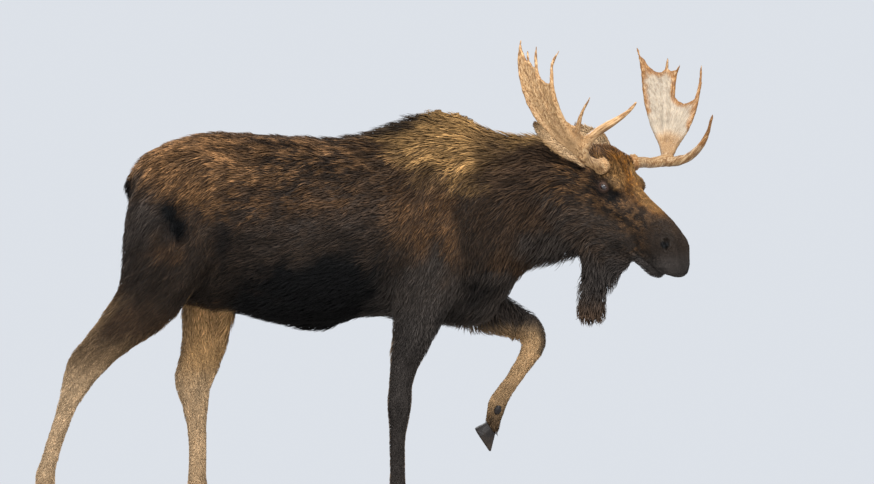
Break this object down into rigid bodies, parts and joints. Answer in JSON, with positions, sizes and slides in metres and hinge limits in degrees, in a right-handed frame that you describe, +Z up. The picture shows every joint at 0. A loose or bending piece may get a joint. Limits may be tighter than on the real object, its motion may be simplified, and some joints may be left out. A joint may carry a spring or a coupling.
{
  "type": "moose",
  "caption": "Life-size walking bull moose with spread palmate antlers, one foreleg lifted, standing on a plain low base.",
  "frame": {"origin": "Centre of the underside of the stand base, on the floor.", "axes": "+X is the way the animal walks, +Y is its left side, +Z is up."},
  "size_m": [2.9416, 1.1618, 2.0785],
  "materials": {
    "coat_dark": "dark grey-brown coat, matte",
    "coat_brown": "brown coat with lighter tips, matte",
    "coat_tan": "ochre tan coat of the lower legs, matte",
    "coat_black": "near-black coat, matte",
    "ear_fur": "short fur of the ear, matte",
    "antler": "bare antler, grained, low sheen",
    "hoof": "dark horn, worn, low sheen",
    "eye": "dark eye, wet gloss",
    "base": "plain painted board, satin"
  },
  "bodies": {
    "root": {"tail": "coat_black", "hindquarters": "coat_brown", "trunk": "coat_dark", "forequarters": "coat_brown", "neck": "coat_brown", "head": "coat_brown", "muzzle": "coat_dark", "lower_jaw": "coat_black", "bell": "coat_dark", "fore_right_forearm": "coat_black", "fore_right_cannon": "coat_black", "fore_right_pastern": "coat_black", "fore_left_forearm": "coat_tan", "fore_left_cannon": "coat_tan", "fore_left_pastern": "coat_dark", "hind_right_gaskin": "coat_dark", "hind_right_cannon": "coat_tan", "hind_right_pastern": "coat_dark", "hind_left_gaskin": "coat_tan", "hind_left_cannon": "coat_tan", "hind_left_pastern": "coat_dark", "antler_right_beam": "antler", "antler_right_palm": "antler", "antler_right_brow_tine": "antler", "ear_right": "ear_fur", "eye_right": "eye", "antler_left_beam": "antler", "antler_left_palm": "antler", "antler_left_brow_tine": "antler", "ear_left": "ear_fur", "eye_left": "eye", "fore_right_claw_right": "hoof", "fore_right_dewclaw_right": "hoof", "fore_right_claw_left": "hoof", "fore_right_dewclaw_left": "hoof", "fore_left_claw_right": "hoof", "fore_left_dewclaw_right": "hoof", "fore_left_claw_left": "hoof", "fore_left_dewclaw_left": "hoof", "hind_right_claw_right": "hoof", "hind_right_dewclaw_right": "hoof", "hind_right_claw_left": "hoof", "hind_right_dewclaw_left": "hoof", "hind_left_claw_right": "hoof", "hind_left_dewclaw_right": "hoof", "hind_left_claw_left": "hoof", "hind_left_dewclaw_left": "hoof", "stand_base": "base"}
  },
  "joints": []
}
